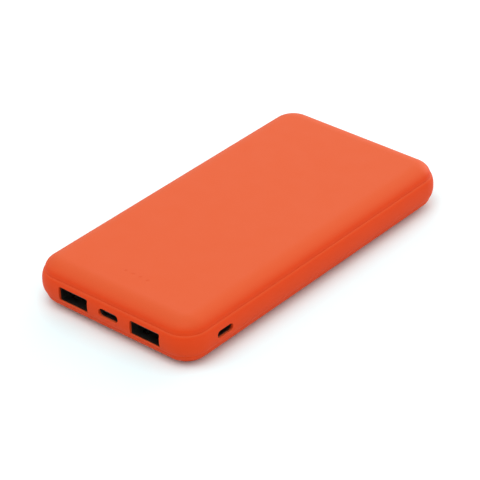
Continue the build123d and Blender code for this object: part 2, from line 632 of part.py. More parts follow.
def switch_body():
    """Side-pressed switch on the board's edge, with the sleeve that its plunger slides in."""
    body = block(SWITCH_BODY, switch_front() + SWITCH_BODY[0] / 2, SIDE_ROW_Y, BOARD_TOP + STAND_OFF)
    body = chamfer(body.edges().filter_by(Axis.X), SWITCH_EDGE)
    sleeve_depth = SWITCH_PLUNGER_REACH + BUTTON_TRAVEL + PLUNGER_GAP
    sleeve = (2 * sleeve_depth, SWITCH_PLUNGER[0] + 2 * PLUNGER_GAP, SWITCH_PLUNGER[1] + 2 * PLUNGER_GAP)
    return body - Pos(switch_front(), SIDE_ROW_Y, BUTTON_Z) * Box(*sleeve)


def switch_plunger():
    """The plunger that the button's nub presses."""
    length = 2 * SWITCH_PLUNGER_REACH
    middle = switch_front() - SWITCH_PLUNGER_REACH + length / 2
    plunger = Pos(middle, SIDE_ROW_Y, BUTTON_Z) * Box(length, *SWITCH_PLUNGER)
    return fillet(plunger.faces().sort_by(Axis.X)[0].edges(), SWITCH_PLUNGER_EDGE)


def indicator_leds():
    """A row of small white indicators on the board."""
    return [block(LED_SIZE, x, LED_Y, BOARD_TOP + STAND_OFF) for x in led_places()]


def guide_bar_bottom():
    """Underside of the light guide's bar, which sits against the cover's inside."""
    return CEILING - GUIDE_GAP - GUIDE_BAR[2]


def light_guide():
    """Clear guide: a bar under the cover with a post for each indicator, from the board to the window."""
    guide = block(GUIDE_BAR, 0, LED_Y, guide_bar_bottom())
    foot = BOARD_TOP + STAND_OFF + LED_SIZE[2] + GUIDE_GAP
    tip = CASE_HEIGHT - WINDOW_SKIN - GUIDE_GAP
    for x in led_places():
        guide += rod(GUIDE_POST, tip - foot, x, LED_Y, foot)
    return guide


def light_shield():
    """Soft block round the guide's posts, which keeps each indicator's light in its own post."""
    bottom = BOARD_TOP + STAND_OFF + LED_SIZE[2] + GUIDE_GAP
    height = guide_bar_bottom() - GUIDE_GAP - bottom
    shield = block((*SHIELD_SIZE, height), 0, LED_Y, bottom)
    for x in led_places():
        shield -= rod(SHIELD_HOLE, height, x, LED_Y, bottom)
    return shield


def on_board(x, from_rear, size, edge=0.0):
    """A soldered part on the main board, from_rear in front of its rear edge, with upright edges rounded by edge."""
    part = block(size, x, BOARD_REAR - from_rear, BOARD_TOP + STAND_OFF)
    if edge:
        part = fillet(part.edges().filter_by(Axis.Z), edge)
    return part


def resistors():
    """Chip resistors by the board's rear edge and beside the small front port."""
    places = REAR_RESISTORS + [(x, BOARD_DEPTH - from_front) for x, from_front in FRONT_RESISTORS]
    return [on_board(x, from_rear, RESISTOR) for x, from_rear in places]


def polymer_capacitors():
    """Round capacitors on square feet."""
    radius, height = CAPACITOR_CAN
    cans = []
    for x, from_rear in POLYMER_CAPACITORS:
        foot = on_board(x, from_rear, CAPACITOR_FOOT, CAPACITOR_FOOT_CORNER)
        can = rod(radius, height, x, BOARD_REAR - from_rear, BOARD_TOP + STAND_OFF + CAPACITOR_FOOT[2])
        cans.append(foot + fillet(can.faces().sort_by(Axis.Z)[-1].edges(), CAPACITOR_CAN_EDGE))
    return cans


def battery_cell():
    """Pouch cell with soft rounded edges and the sealed terrace at its tab end."""
    body = block((CELL_WIDTH, CELL_LENGTH, CELL_TOP - CELL_BOTTOM), 0, CELL_Y, CELL_BOTTOM)
    body = fillet(body.edges(), CELL_EDGE)
    reach = TERRACE[1] + CELL_EDGE
    terrace = block((TERRACE[0], reach, TERRACE[2]), 0, CELL_FRONT - TERRACE[1] + reach / 2, CELL_MID - TERRACE[2] / 2)
    return body + terrace


def cell_tab(side):
    """Flat tab on top of the terrace, which the protection board is welded to."""
    return block(TAB_SIZE, side * TAB_OFFSET, PROTECTION_Y, TERRACE_TOP)


def protection_board():
    """Narrow board across the terrace."""
    return block(PROTECTION_BOARD, 0, PROTECTION_Y, PROTECTION_BOTTOM)


def protection_chips():
    """The protection board's switch and sense chips."""
    return [block(PROTECTION_CHIP, x, PROTECTION_Y, PROTECTION_TOP + STAND_OFF) for x in PROTECTION_CHIPS]


def cell_tape():
    """Two strips of double-sided tape between the cell and the bottom cover."""
    strip = (TAPE_STRIP_WIDTH, CELL_LENGTH - 2 * FOAM_EDGE, CELL_TAPE)
    return [block(strip, side * TAPE_STRIP_OFFSET, CELL_Y, FLOOR) for side in (-1, 1)]


def foam_pads():
    """Foam on top of the cell, in strips across it."""
    width = CELL_WIDTH - 2 * FOAM_EDGE
    length = (CELL_LENGTH - 2 * FOAM_EDGE - (FOAM_STRIPS - 1) * FOAM_BETWEEN) / FOAM_STRIPS
    first = CELL_FRONT + FOAM_EDGE + length / 2
    rows = [first + index * (length + FOAM_BETWEEN) for index in range(FOAM_STRIPS)]
    return [block((width, length, CELL_FOAM), 0, y, CELL_TOP) for y in rows]


def bend_radii(points):
    """The arc at each inner point of a route: BEND_SHARE of the shorter run over tan(half the turn)."""
    vectors = [Vector(*point) for point in points]
    radii = []
    for before, here, after in zip(vectors, vectors[1:], vectors[2:]):
        arriving = here - before
        leaving = after - here
        half_turn = math.radians(arriving.get_angle(leaving)) / 2
        radii.append(BEND_SHARE * min(arriving.length, leaving.length) / math.tan(half_turn))
    return radii


def tube(points, radius):
    """A round lead along a route of straight runs and tangent arcs."""
    radii = bend_radii(points)
    path = FilletPolyline(*points, radius=radii)
    start = Plane(origin=path @ 0, z_dir=path % 0)
    lead = sweep(start * Circle(radius), path)
    drawn = math.pi * radius**2 * path.length
    print(f"lead {path.length:.2f} mm, volume {lead.volume:.2f} of {drawn:.2f}, least bend {min(radii):.2f}")
    return lead


def lead_ends(x):
    """Where a battery lead leaves the protection board and where it meets the main board."""
    upper = Vector(x, PROTECTION_Y - LEAD_END_UPPER, PROTECTION_TOP + LEAD_RADIUS + STAND_OFF)
    lower = Vector(x + LEAD_SIDESTEP, BOARD_REAR - LEAD_END_LOWER, BOARD_TOP + LEAD_RADIUS + STAND_OFF)
    return upper, lower


def battery_lead(x):
    """Insulated lead from the protection board down to the main board."""
    upper, lower = lead_ends(x)
    points = [
        upper,
        (upper.X + 0.1, upper.Y - 2.0, upper.Z + 0.25),
        (upper.X + 0.5, upper.Y - 4.0, upper.Z - 0.2),
        (lower.X - 0.1, lower.Y + 1.9, lower.Z + 0.1),
        lower,
    ]
    return tube([tuple(point) for point in points], LEAD_RADIUS)


def lead_solder():
    """Solder joints at both ends of the two battery leads."""
    joints = []
    for x in LEAD_X.values():
        upper, lower = lead_ends(x)
        joints.append((upper.X, upper.Y + SOLDER_SIZE[1] / 2 + SOLDER_GAP, upper.Z - LEAD_RADIUS))
        joints.append((lower.X, lower.Y - SOLDER_SIZE[1] / 2 - SOLDER_GAP, lower.Z - LEAD_RADIUS))
    drop = fillet(block(SOLDER_SIZE).faces().sort_by(Axis.Z)[-1].edges(), SOLDER_EDGE)
    return [Pos(*place) * drop for place in joints]


def sensor_points():
    """Route of the thermistor's lead, from the board up over the cell's edge."""
    low = BOARD_TOP + SENSOR_LEAD_RADIUS + STAND_OFF
    high = CELL_TOP + SENSOR_LEAD_RADIUS + STAND_OFF
    rise = high - low
    return [
        (SENSOR_X, BOARD_REAR - SENSOR_END, low),
        (SENSOR_X + 0.1, BOARD_REAR + 0.6, low + 0.1),
        (SENSOR_X + 0.5, BOARD_REAR + 3.4, low + rise * 0.42),
        (SENSOR_X + 0.9, CELL_FRONT - 1.0, high + 0.3),
        (SENSOR_X + 1.0, CELL_FRONT + 3.0, high + 0.3),
        (SENSOR_X + 1.0, CELL_FRONT + SENSOR_REACH - 2.2, high),
    ]


def thermistor():
    """Bead at the end of the sensor lead, lying on the cell."""
    x, y, _ = sensor_points()[-1]
    radius, length, rounding = THERMISTOR_BEAD
    bead = fillet(Cylinder(radius, length).edges(), rounding)
    return Pos(x, y + length / 2, CELL_TOP + radius + STAND_OFF) * Rot(90, 0, 0) * bead


def make_parts():
    """Every node's name and shape, or list of separate shapes."""
    parts = {
        "top_cover": top_cover(),
        "middle_frame": middle_frame(),
        "bottom_cover": bottom_cover(),
        "main_board": main_board(),
        "board_screws": board_screws(),
        "usb_c_shell": usb_c_shell(),
        "usb_c_insulator": usb_c_insulator(),
        "usb_c_contacts": usb_c_contacts(),
        "micro_usb_shell": micro_shell(),
        "micro_usb_insulator": micro_insulator(),
        "micro_usb_contacts": micro_contacts(),
        "power_button": power_button(),
        "switch_body": switch_body(),
        "switch_plunger": switch_plunger(),
        "indicator_leds": indicator_leds(),
        "light_guide": light_guide(),
        "light_shield": light_shield(),
        "boost_inductor": on_board(*INDUCTOR, edge=INDUCTOR_EDGE),
        "power_controller": on_board(*CONTROLLER),
        "power_mosfets": [on_board(*place) for place in MOSFETS],
        "polymer_capacitors": polymer_capacitors(),
        "ceramic_capacitors": [on_board(*place, CERAMIC_CAPACITOR) for place in CERAMIC_CAPACITORS],
        "resistors": resistors(),
        "battery_cell": battery_cell(),
        "positive_tab": cell_tab(1),
        "negative_tab": cell_tab(-1),
        "protection_board": protection_board(),
        "protection_chips": protection_chips(),
        "cell_tape": cell_tape(),
        "foam_pads": foam_pads(),
        "lead_solder": lead_solder(),
        "thermistor_lead": tube(sensor_points(), SENSOR_LEAD_RADIUS),
        "thermistor": thermistor(),
    }
    for name, x in usb_a_places().items():
        parts[f"{name}_shell"] = usb_a_shell(x)
        parts[f"{name}_insulator"] = usb_a_insulator(x)
        parts[f"{name}_contacts"] = usb_a_contacts(x)
    for name, x in LEAD_X.items():
        parts[name] = battery_lead(x)
    return parts


os.makedirs("parts", exist_ok=True)
for node, shape in make_parts().items():
    solid = Compound(children=shape) if isinstance(shape, list) else shape
    export_step(solid, f"parts/{node}.step")
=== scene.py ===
"""Looks of the power bank: shells, ports, board and cell, dressed round the fixed CAD frame, in metres."""

from __future__ import annotations

import logging
import math
from collections.abc import Callable, Sequence
from dataclasses import dataclass, field
from enum import Enum

import bpy
from mathutils import Matrix, Vector


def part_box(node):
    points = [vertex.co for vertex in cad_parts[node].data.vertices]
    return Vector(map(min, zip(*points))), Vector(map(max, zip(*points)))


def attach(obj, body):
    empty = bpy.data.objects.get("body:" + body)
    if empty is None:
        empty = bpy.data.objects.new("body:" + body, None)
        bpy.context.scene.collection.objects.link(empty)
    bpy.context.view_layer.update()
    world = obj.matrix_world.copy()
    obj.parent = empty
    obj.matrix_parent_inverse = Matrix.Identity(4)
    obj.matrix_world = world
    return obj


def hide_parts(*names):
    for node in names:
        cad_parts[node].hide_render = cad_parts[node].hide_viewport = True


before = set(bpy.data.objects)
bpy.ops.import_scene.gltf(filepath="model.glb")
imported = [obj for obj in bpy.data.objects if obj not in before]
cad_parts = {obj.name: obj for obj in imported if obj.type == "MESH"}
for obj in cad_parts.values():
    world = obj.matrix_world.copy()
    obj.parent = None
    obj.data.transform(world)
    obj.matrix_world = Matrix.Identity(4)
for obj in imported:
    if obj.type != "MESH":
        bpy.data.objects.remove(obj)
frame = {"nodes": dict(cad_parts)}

LOG = logging.getLogger("power_bank")
MM = 0.001
# How squarely a face must look along an axis for it to be picked.
FLAT = 0.9
# Edges flatter than this are shaded smooth, in degrees.
SMOOTH_UNDER = 35
# A drawn metal's pattern runs this much slower along Y, which pulls it into streaks.
STREAK_SQUEEZE = 0.06
# How far rolled cells stray from an even grid.
ROLLER_SCATTER = 0.35
# Octaves of noise in plain, drawn and sintered surfaces.
PLAIN_DETAIL, DRAWN_DETAIL, SINTERED_DETAIL = 2.0, 3.0, 6.0
# Where a colour patch starts and where it is full.
PATCH_EDGES = (0.3, 0.7)
# The upward lean at which the painted sheen, a painted highlight on faces that look up, starts.
PAINTED_SHEEN_FROM = 0.45
# The sockets of a mix node that takes colours: share, plain colour, colour with the painted sheen, and its
# output.
MIX_SHARE, MIX_PLAIN, MIX_SHEEN, MIX_OUT = 0, 6, 7, 2


def linear(colour: str) -> tuple[float, float, float, float]:
    """Turns an sRGB colour into linear values.

    Args:
        colour: Six hex digits.

    Returns:
        Linear red, green, blue and an alpha of one.
    """
    parts = [int(colour[index:index + 2], 16) / 255 for index in (0, 2, 4)]
    curved = [part / 12.92 if part <= 0.04045 else ((part + 0.055) / 1.055) ** 2.4 for part in parts]
    return (*curved, 1.0)


def add_node(tree: bpy.types.NodeTree, kind: str, settings: dict | None = None, **links) -> bpy.types.Node:
    """Adds one shader node.

    Args:
        tree: The material's nodes.
        kind: The node's type.
        settings: Values by property name, or by input socket name or number.
        links: Sockets to link, by input name with underscores for spaces.

    Returns:
        The new node.
    """
    node = tree.nodes.new(kind)
    for name, value in (settings or {}).items():
        if isinstance(name, str) and hasattr(node, name):
            setattr(node, name, value)
        else:
            node.inputs[name].default_value = value
    for name, socket in links.items():
        tree.links.new(socket, node.inputs[name.replace("_", " ")])
    return node


class Surface(Enum):
    """How a surface was made, which sets the pattern of its bump."""

    MOULDED = "moulded"
    DRAWN = "drawn"
    CELLULAR = "cellular"
    EMBOSSED = "embossed"
    SINTERED = "sintered"


@dataclass(frozen=True)
class Finish:
    """One real material: its colours, its shine and the pattern of its surface."""

    name: str
    colour: str
    shade: str
    roughness: float
    grain_mm: float
    height_mm: float
    surface: Surface = Surface.MOULDED
    metallic: float = 0.0
    ior: float = 1.5
    coat: float = 0.0
    gloss: float = 0.5
    transmission: float = 0.0
    patch_mm: float = 9.0
    shine_spread: float = 0.06
    # Colour of a painted sheen, a painted highlight on the faces that look up; empty for none.
    painted_sheen: str = ""

    def pattern(self, tree: bpy.types.NodeTree, place: bpy.types.NodeSocket) -> bpy.types.NodeSocket:
        """Draws the surface's relief.

        Args:
            tree: The material's nodes.
            place: Object coordinates.

        Returns:
            The height socket, from nought to one.
        """
        scale = 1 / (self.grain_mm * MM)
        if self.surface is Surface.DRAWN:
            squeeze = {"Scale": (1.0, STREAK_SQUEEZE, 1.0)}
            place = add_node(tree, "ShaderNodeMapping", squeeze, Vector=place).outputs[0]
            streaks = {"Scale": scale, "Detail": DRAWN_DETAIL}
            return add_node(tree, "ShaderNodeTexNoise", streaks, Vector=place).outputs["Fac"]
        if self.surface is Surface.CELLULAR:
            cells = add_node(tree, "ShaderNodeTexVoronoi", {"Scale": scale}, Vector=place)
            return cells.outputs["Distance"]
        if self.surface is Surface.EMBOSSED:
            rolled = {"feature": "SMOOTH_F1", "Scale": scale, "Randomness": ROLLER_SCATTER}
            return add_node(tree, "ShaderNodeTexVoronoi", rolled, Vector=place).outputs["Distance"]
        detail = SINTERED_DETAIL if self.surface is Surface.SINTERED else PLAIN_DETAIL
        grain = add_node(tree, "ShaderNodeTexNoise", {"Scale": scale, "Detail": detail}, Vector=place)
        return grain.outputs["Fac"]

    def with_painted_sheen(self, tree: bpy.types.NodeTree, colour: bpy.types.NodeSocket) -> bpy.types.NodeSocket:
        """Paints a faint pale sheen, a painted highlight, over the faces that look up, paler the more a face
        looks up.

        Args:
            tree: The material's nodes.
            colour: The colour before the painted sheen.

        Returns:
            The colour with its painted sheen.
        """
        normal = add_node(tree, "ShaderNodeTexCoord").outputs["Normal"]
        upward = add_node(tree, "ShaderNodeSeparateXYZ", Vector=normal).outputs["Z"]
        # Painted highlight: the share of pale colour grows as the face looks up.
        sheen_share = add_node(tree, "ShaderNodeMapRange", {"From Min": PAINTED_SHEEN_FROM, "From Max": 1.0}, Value=upward)
        mixed = add_node(tree, "ShaderNodeMix", {"data_type": "RGBA"})
        mixed.inputs[MIX_SHEEN].default_value = linear(self.painted_sheen)
        tree.links.new(sheen_share.outputs["Result"], mixed.inputs[MIX_SHARE])
        tree.links.new(colour, mixed.inputs[MIX_PLAIN])
        return mixed.outputs[MIX_OUT]

    def material(self) -> bpy.types.Material:
        """Makes the Blender material.

        Returns:
            A node material that reads object coordinates.
        """
        made = bpy.data.materials.new(self.name)
        made.use_nodes = True
        tree = made.node_tree
        shader = tree.nodes["Principled BSDF"]
        place = add_node(tree, "ShaderNodeTexCoord").outputs["Object"]
        blotches = {"Scale": 1 / (self.patch_mm * MM), "Detail": PLAIN_DETAIL}
        patches = add_node(tree, "ShaderNodeTexNoise", blotches, Vector=place).outputs["Fac"]
        ramp = add_node(tree, "ShaderNodeValToRGB", Fac=patches)
        for stop, edge, tint in zip(ramp.color_ramp.elements, PATCH_EDGES, (self.shade, self.colour)):
            stop.position = edge
            stop.color = linear(tint)
        colour = ramp.outputs["Color"]
        # Painted highlight: faces that look up get a paler colour.
        if self.painted_sheen:
            colour = self.with_painted_sheen(tree, colour)
        shine = add_node(
            tree,
            "ShaderNodeMapRange",
            {"To Min": self.roughness - self.shine_spread, "To Max": self.roughness + self.shine_spread},
            Value=patches,
        )
        bump = add_node(
            tree, "ShaderNodeBump", {"Distance": self.height_mm * MM}, Height=self.pattern(tree, place)
        )
        tree.links.new(colour, shader.inputs["Base Color"])
        tree.links.new(shine.outputs["Result"], shader.inputs["Roughness"])
        tree.links.new(bump.outputs["Normal"], shader.inputs["Normal"])
        shader.inputs["Metallic"].default_value = self.metallic
        shader.inputs["IOR"].default_value = self.ior
        shader.inputs["Coat Weight"].default_value = self.coat
        shader.inputs["Specular IOR Level"].default_value = self.gloss
        shader.inputs["Transmission Weight"].default_value = self.transmission
        return made


# Soft-touch polyurethane paint on moulded ABS: matte, weakly reflecting, with a painted pale sheen (a painted
# highlight) on the faces that look up.
SOFT_TOUCH = Finish("soft_touch_paint", "D44A18", "D24816", 0.55, 0.16, 0.004, gloss=0.2, painted_sheen="D36237")
# The same paint on the button cap, polished a little by fingers.
BUTTON_PAINT = Finish("soft_touch_button_paint", "D24A18", "CC4615", 0.45, 0.16, 0.003, gloss=0.3)
# Nickel-plated steel strip, drawn and folded: soft streaks along the strip.
NICKEL_PLATE = Finish(
    "nickel_plated_steel", "B9B8B3", "A5A49F", 0.32, 0.25, 0.004, Surface.DRAWN, metallic=1.0
)
# Glass-filled dark grey nylon: dull, with a fine mould texture.
DARK_NYLON = Finish("glass_filled_nylon", "4C4A4F", "434146", 0.5, 0.2, 0.008, ior=1.53)
# Gold flash over nickel on spring contacts: bright and warm.
GOLD_FLASH = Finish("gold_flash", "D9A94A", "C8963C", 0.25, 0.2, 0.002, Surface.DRAWN, metallic=1.0)
# Glass-epoxy board under green solder mask: glossy, slightly wavy over the copper.
BOARD_LAMINATE = Finish(
    "solder_masked_laminate", "11502F", "0C3F25", 0.3, 0.9, 0.02, ior=1.55, coat=0.3, patch_mm=3.0
)
# Zinc-plated screw steel: satin grey with a faint blue-yellow cast.
ZINC_PLATE = Finish("zinc_plated_steel", "B4B6B8", "A09F98", 0.38, 0.3, 0.006, metallic=1.0)
# Black ABS of the small switch.
SWITCH_ABS = Finish("switch_abs", "202022", "27272A", 0.42, 0.2, 0.004)
# White POM of the plunger: waxy.
PLUNGER_POM = Finish("plunger_acetal", "E8E6DF", "DEDBD2", 0.35, 0.2, 0.003, ior=1.48)
# Clear epoxy over a phosphor chip: pale yellow under gloss.
LED_EPOXY = Finish("led_epoxy", "EFE6B8", "E4D795", 0.18, 0.3, 0.003, ior=1.53, coat=0.5)
# Clear acrylic of the light guide: polished, faintly frosted.
CLEAR_ACRYLIC = Finish("clear_acrylic", "F4F7F8", "EDF2F4", 0.12, 0.4, 0.002, ior=1.49, transmission=0.9)
# Closed-cell EVA foam: dead matte, open skin of tiny cells.
EVA_FOAM = Finish("closed_cell_foam", "2A2B2D", "222325", 0.85, 0.45, 0.06, Surface.CELLULAR, ior=1.4)
# Sintered ferrite with a ground face: dark grey, granular.
FERRITE = Finish("sintered_ferrite", "3B3C3F", "2F3033", 0.6, 0.35, 0.02, Surface.SINTERED)
# Moulded epoxy of the chips: charcoal, satin.
CHIP_EPOXY = Finish("moulded_epoxy", "1E1F21", "262729", 0.5, 0.18, 0.006)
# Extruded aluminium can with clear lacquer: bright satin.
CAN_ALUMINIUM = Finish(
    "lacquered_aluminium", "C6C8CB", "B6B8BB", 0.28, 0.25, 0.004, Surface.DRAWN, metallic=1.0
)
# Fired multilayer ceramic with tinned ends: tan.
TAN_CERAMIC = Finish("fired_ceramic", "A98B63", "9B7D56", 0.45, 0.15, 0.004)
# Glazed thick-film resistor: near black, glassy.
RESISTOR_GLAZE = Finish("resistor_glaze", "17181A", "202124", 0.25, 0.2, 0.003)
# Aluminium-laminate pouch foil: silvery, embossed lightly by the rollers.
POUCH_FOIL = Finish(
    "pouch_laminate", "C2C4C7", "AEB1B5", 0.3, 2.2, 0.05, Surface.EMBOSSED, metallic=1.0, patch_mm=14.0
)
# Pure nickel strip of the cell tabs.
NICKEL_STRIP = Finish("nickel_strip", "BDBAB1", "ACA99F", 0.3, 0.3, 0.004, Surface.DRAWN, metallic=1.0)
# Tissue-backed double-sided tape: dull white, fibrous.
TISSUE_TAPE = Finish("tissue_tape", "E9E8E2", "DCDAD2", 0.75, 0.5, 0.02, Surface.SINTERED)
# Tin-silver solder: bright with a slightly frosted skin.
TIN_SOLDER = Finish("tin_solder", "C9CBCD", "B3B5B8", 0.24, 0.5, 0.012, metallic=1.0, patch_mm=1.5)
# Silicone lead insulation in its three colours: soft gloss.
RED_SILICONE = Finish("red_silicone", "B31A1A", "A01414", 0.38, 0.3, 0.004, ior=1.43)
BLACK_SILICONE = Finish("black_silicone", "1B1B1C", "232324", 0.38, 0.3, 0.004, ior=1.43)
WHITE_SILICONE = Finish("white_silicone", "E6E5E1", "D9D8D2", 0.38, 0.3, 0.004, ior=1.43)
# Dipped epoxy over the thermistor bead: dark and glassy.
BEAD_EPOXY = Finish("dipped_epoxy", "2B1D16", "1F1510", 0.2, 0.5, 0.01, coat=0.4)

NODE_FINISHES: dict[str, Finish] = {
    "top_cover": SOFT_TOUCH,
    "middle_frame": SOFT_TOUCH,
    "bottom_cover": SOFT_TOUCH,
    "power_button": BUTTON_PAINT,
    "main_board": BOARD_LAMINATE,
    "protection_board": BOARD_LAMINATE,
    "board_screws": ZINC_PLATE,
    "switch_body": SWITCH_ABS,
    "switch_plunger": PLUNGER_POM,
    "indicator_leds": LED_EPOXY,
    "light_guide": CLEAR_ACRYLIC,
    "light_shield": EVA_FOAM,
    "foam_pads": EVA_FOAM,
    "boost_inductor": FERRITE,
    "power_controller": CHIP_EPOXY,
    "power_mosfets": CHIP_EPOXY,
    "protection_chips": CHIP_EPOXY,
    "polymer_capacitors": CAN_ALUMINIUM,
    "ceramic_capacitors": TAN_CERAMIC,
    "resistors": RESISTOR_GLAZE,
    "battery_cell": POUCH_FOIL,
    "positive_tab": NICKEL_STRIP,
    "negative_tab": NICKEL_STRIP,
    "cell_tape": TISSUE_TAPE,
    "lead_solder": TIN_SOLDER,
    "positive_lead": RED_SILICONE,
    "negative_lead": BLACK_SILICONE,
    "thermistor_lead": WHITE_SILICONE,
    "thermistor": BEAD_EPOXY,
}
PORT_FINISHES = {"_shell": NICKEL_PLATE, "_insulator": DARK_NYLON, "_contacts": GOLD_FLASH}


@dataclass
class Palette:
    """Makes each finish's material once."""

    made: dict[str, bpy.types.Material] = field(default_factory=dict)

    def of(self, finish: Finish) -> bpy.types.Material:
        """Finds or makes a finish's material.

        Args:
            finish: The finish.

        Returns:
            Its material.
        """
        if finish.name not in self.made:
            self.made[finish.name] = finish.material()
        return self.made[finish.name]


PALETTE = Palette()


@dataclass
class Dressing:
    """Gives every CAD node the finish of its real material."""

    nodes: dict[str, bpy.types.Object]

    def finish_for(self, name: str) -> Finish:
        """Finds a node's finish.

        Args:
            name: The node's name.

        Returns:
            Its finish.
        """
        for ending, finish in PORT_FINISHES.items():
            if name.endswith(ending):
                return finish
        return NODE_FINISHES[name]

    def build(self) -> None:
        """Dresses all the nodes, one material for each finish."""
        for name, node in sorted(self.nodes.items()):
            finish = self.finish_for(name)
            node.data.materials.clear()
            node.data.materials.append(PALETTE.of(finish))
            LOG.info("%s wears %s", name, finish.name)


def clear_selection() -> None:
    """Leaves nothing selected, CAD nodes included."""
    bpy.ops.object.select_all(action="DESELECT")


def pick(piece: bpy.types.Object, wanted: Callable[[bpy.types.MeshPolygon], bool]) -> None:
    """Opens a piece in edit mode with only some faces selected.

    Args:
        piece: The piece to edit.
        wanted: Says which faces.
    """
    clear_selection()
    piece.select_set(True)
    bpy.context.view_layer.objects.active = piece
    bpy.ops.object.mode_set(mode="EDIT")
    bpy.ops.mesh.select_mode(type="FACE")
    bpy.ops.mesh.select_all(action="DESELECT")
    bpy.ops.object.mode_set(mode="OBJECT")
    for face in piece.data.polygons:
        face.select = wanted(face)
    bpy.ops.object.mode_set(mode="EDIT")


def leave() -> None:
    """Closes edit mode."""
    bpy.ops.object.mode_set(mode="OBJECT")


def start_box(name: str, size: Sequence[float], centre: Sequence[float]) -> bpy.types.Object:
    """Starts a piece from a cube of the given size.

    Args:
        name: The piece's name.
        size: Its size along X, Y and Z.
        centre: Its middle.

    Returns:
        The new piece, unturned and unscaled.
    """
    clear_selection()
    bpy.ops.mesh.primitive_cube_add(size=1, location=centre)
    piece = bpy.context.object
    piece.name = name
    piece.scale = size
    bpy.ops.object.transform_apply(location=True, rotation=True, scale=True)
    return piece


def start_disc(
    name: str, radius: float, depth: float, centre: Sequence[float], sides: int
) -> bpy.types.Object:
    """Starts a piece from an upright cylinder.

    Args:
        name: The piece's name.
        radius: Its radius.
        depth: Its height.
        centre: Its middle.
        sides: Faces round it.

    Returns:
        The new piece, unturned and unscaled.
    """
    clear_selection()
    bpy.ops.mesh.primitive_cylinder_add(vertices=sides, radius=radius, depth=depth, location=centre)
    piece = bpy.context.object
    piece.name = name
    bpy.ops.object.transform_apply(location=True, rotation=True, scale=True)
    return piece


def bevelled(piece: bpy.types.Object, width: float, segments: int = 3) -> bpy.types.Object:
    """Rounds a piece's sharp edges and shades it by angle.

    Args:
        piece: The piece.
        width: The rounding's width.
        segments: Faces across the rounding.

    Returns:
        The same piece.
    """
    clear_selection()
    piece.select_set(True)
    bpy.context.view_layer.objects.active = piece
    rounding = piece.modifiers.new("rounding", "BEVEL")
    rounding.width = width
    rounding.segments = segments
    rounding.limit_method = "ANGLE"
    bpy.ops.object.modifier_apply(modifier=rounding.name)
    bpy.ops.object.shade_smooth_by_angle(angle=math.radians(SMOOTH_UNDER))
    return piece


def copied(piece: bpy.types.Object, move: Sequence[float], turn: float = 0.0) -> bpy.types.Object:
    """Copies a piece with its own mesh.

    Args:
        piece: The piece to copy.
        move: How far the copy moves.
        turn: How far it turns first, about the upright axis, in degrees.

    Returns:
        The copy, at the origin with its place in its mesh.
    """
    twin = piece.copy()
    twin.data = piece.data.copy()
    bpy.context.scene.collection.objects.link(twin)
    twin.data.transform(Matrix.Translation(move) @ Matrix.Rotation(math.radians(turn), 4, "Z"))
    return twin


def joined(name: str, parts: Sequence[bpy.types.Object]) -> bpy.types.Object:
    """Joins parts into one piece.

    Args:
        name: The piece's name.
        parts: What it is joined from.

    Returns:
        The joined piece.
    """
    clear_selection()
    for part in parts:
        part.select_set(True)
    bpy.context.view_layer.objects.active = parts[0]
    bpy.ops.object.join()
    piece = bpy.context.object
    piece.name = name
    return piece


def fitted(piece: bpy.types.Object, finish: Finish, slot: str, *nodes: str) -> None:
    """Dresses a finished piece and lets it ride with the case.

    Args:
        piece: The piece.
        finish: Its finish.
        slot: Not used.
        nodes: The CAD nodes that it stands for.
    """
    piece.data.materials.clear()
    piece.data.materials.append(PALETTE.of(finish))
    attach(piece, "case")
    if nodes:
        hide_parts(*nodes)
    LOG.info("%s made, %d faces, in %s", piece.name, len(piece.data.polygons), finish.name)


@dataclass
class PowerInductor:
    """Moulded power inductor: a chamfered composite block on two wrapped terminals."""

    edge: float = 0.35 * MM
    dish_inset: float = 1.1 * MM
    dish_depth: float = 0.12 * MM
    terminal_width: float = 3.0 * MM
    terminal_height: float = 1.4 * MM
    terminal_sheet: float = 0.15 * MM

    def build(self) -> None:
        """Models the block with its dished top, then the terminals at its two ends."""
        low, high = (Vector(corner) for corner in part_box("boost_inductor"))
        middle = (low + high) / 2
        size = high - low - Vector((2 * self.terminal_sheet, 0, 0))
        body = start_box("inductor_body", size, middle)
        pick(body, lambda face: face.normal.z > FLAT)
        bpy.ops.mesh.inset(thickness=self.dish_inset)
        bpy.ops.transform.translate(value=(0, 0, -self.dish_depth))
        leave()
        fitted(bevelled(body, self.edge), FERRITE, "ferrite", "boost_inductor")
        sheet = (self.terminal_sheet, self.terminal_width, self.terminal_height)
        rounding = self.terminal_sheet / 4
        plates = []
        for side, edge_x in ((-1, low.x), (1, high.x)):
            centre = (edge_x - side * self.terminal_sheet / 2, middle.y, low.z + self.terminal_height / 2)
            plate = start_box("inductor_terminal", sheet, centre)
            pick(plate, lambda face: face.normal.z > FLAT)
            bpy.ops.mesh.inset(thickness=rounding)
            leave()
            plates.append(bevelled(plate, rounding, 2))
        fitted(joined("inductor_terminals", plates), TIN_SOLDER, "solder")


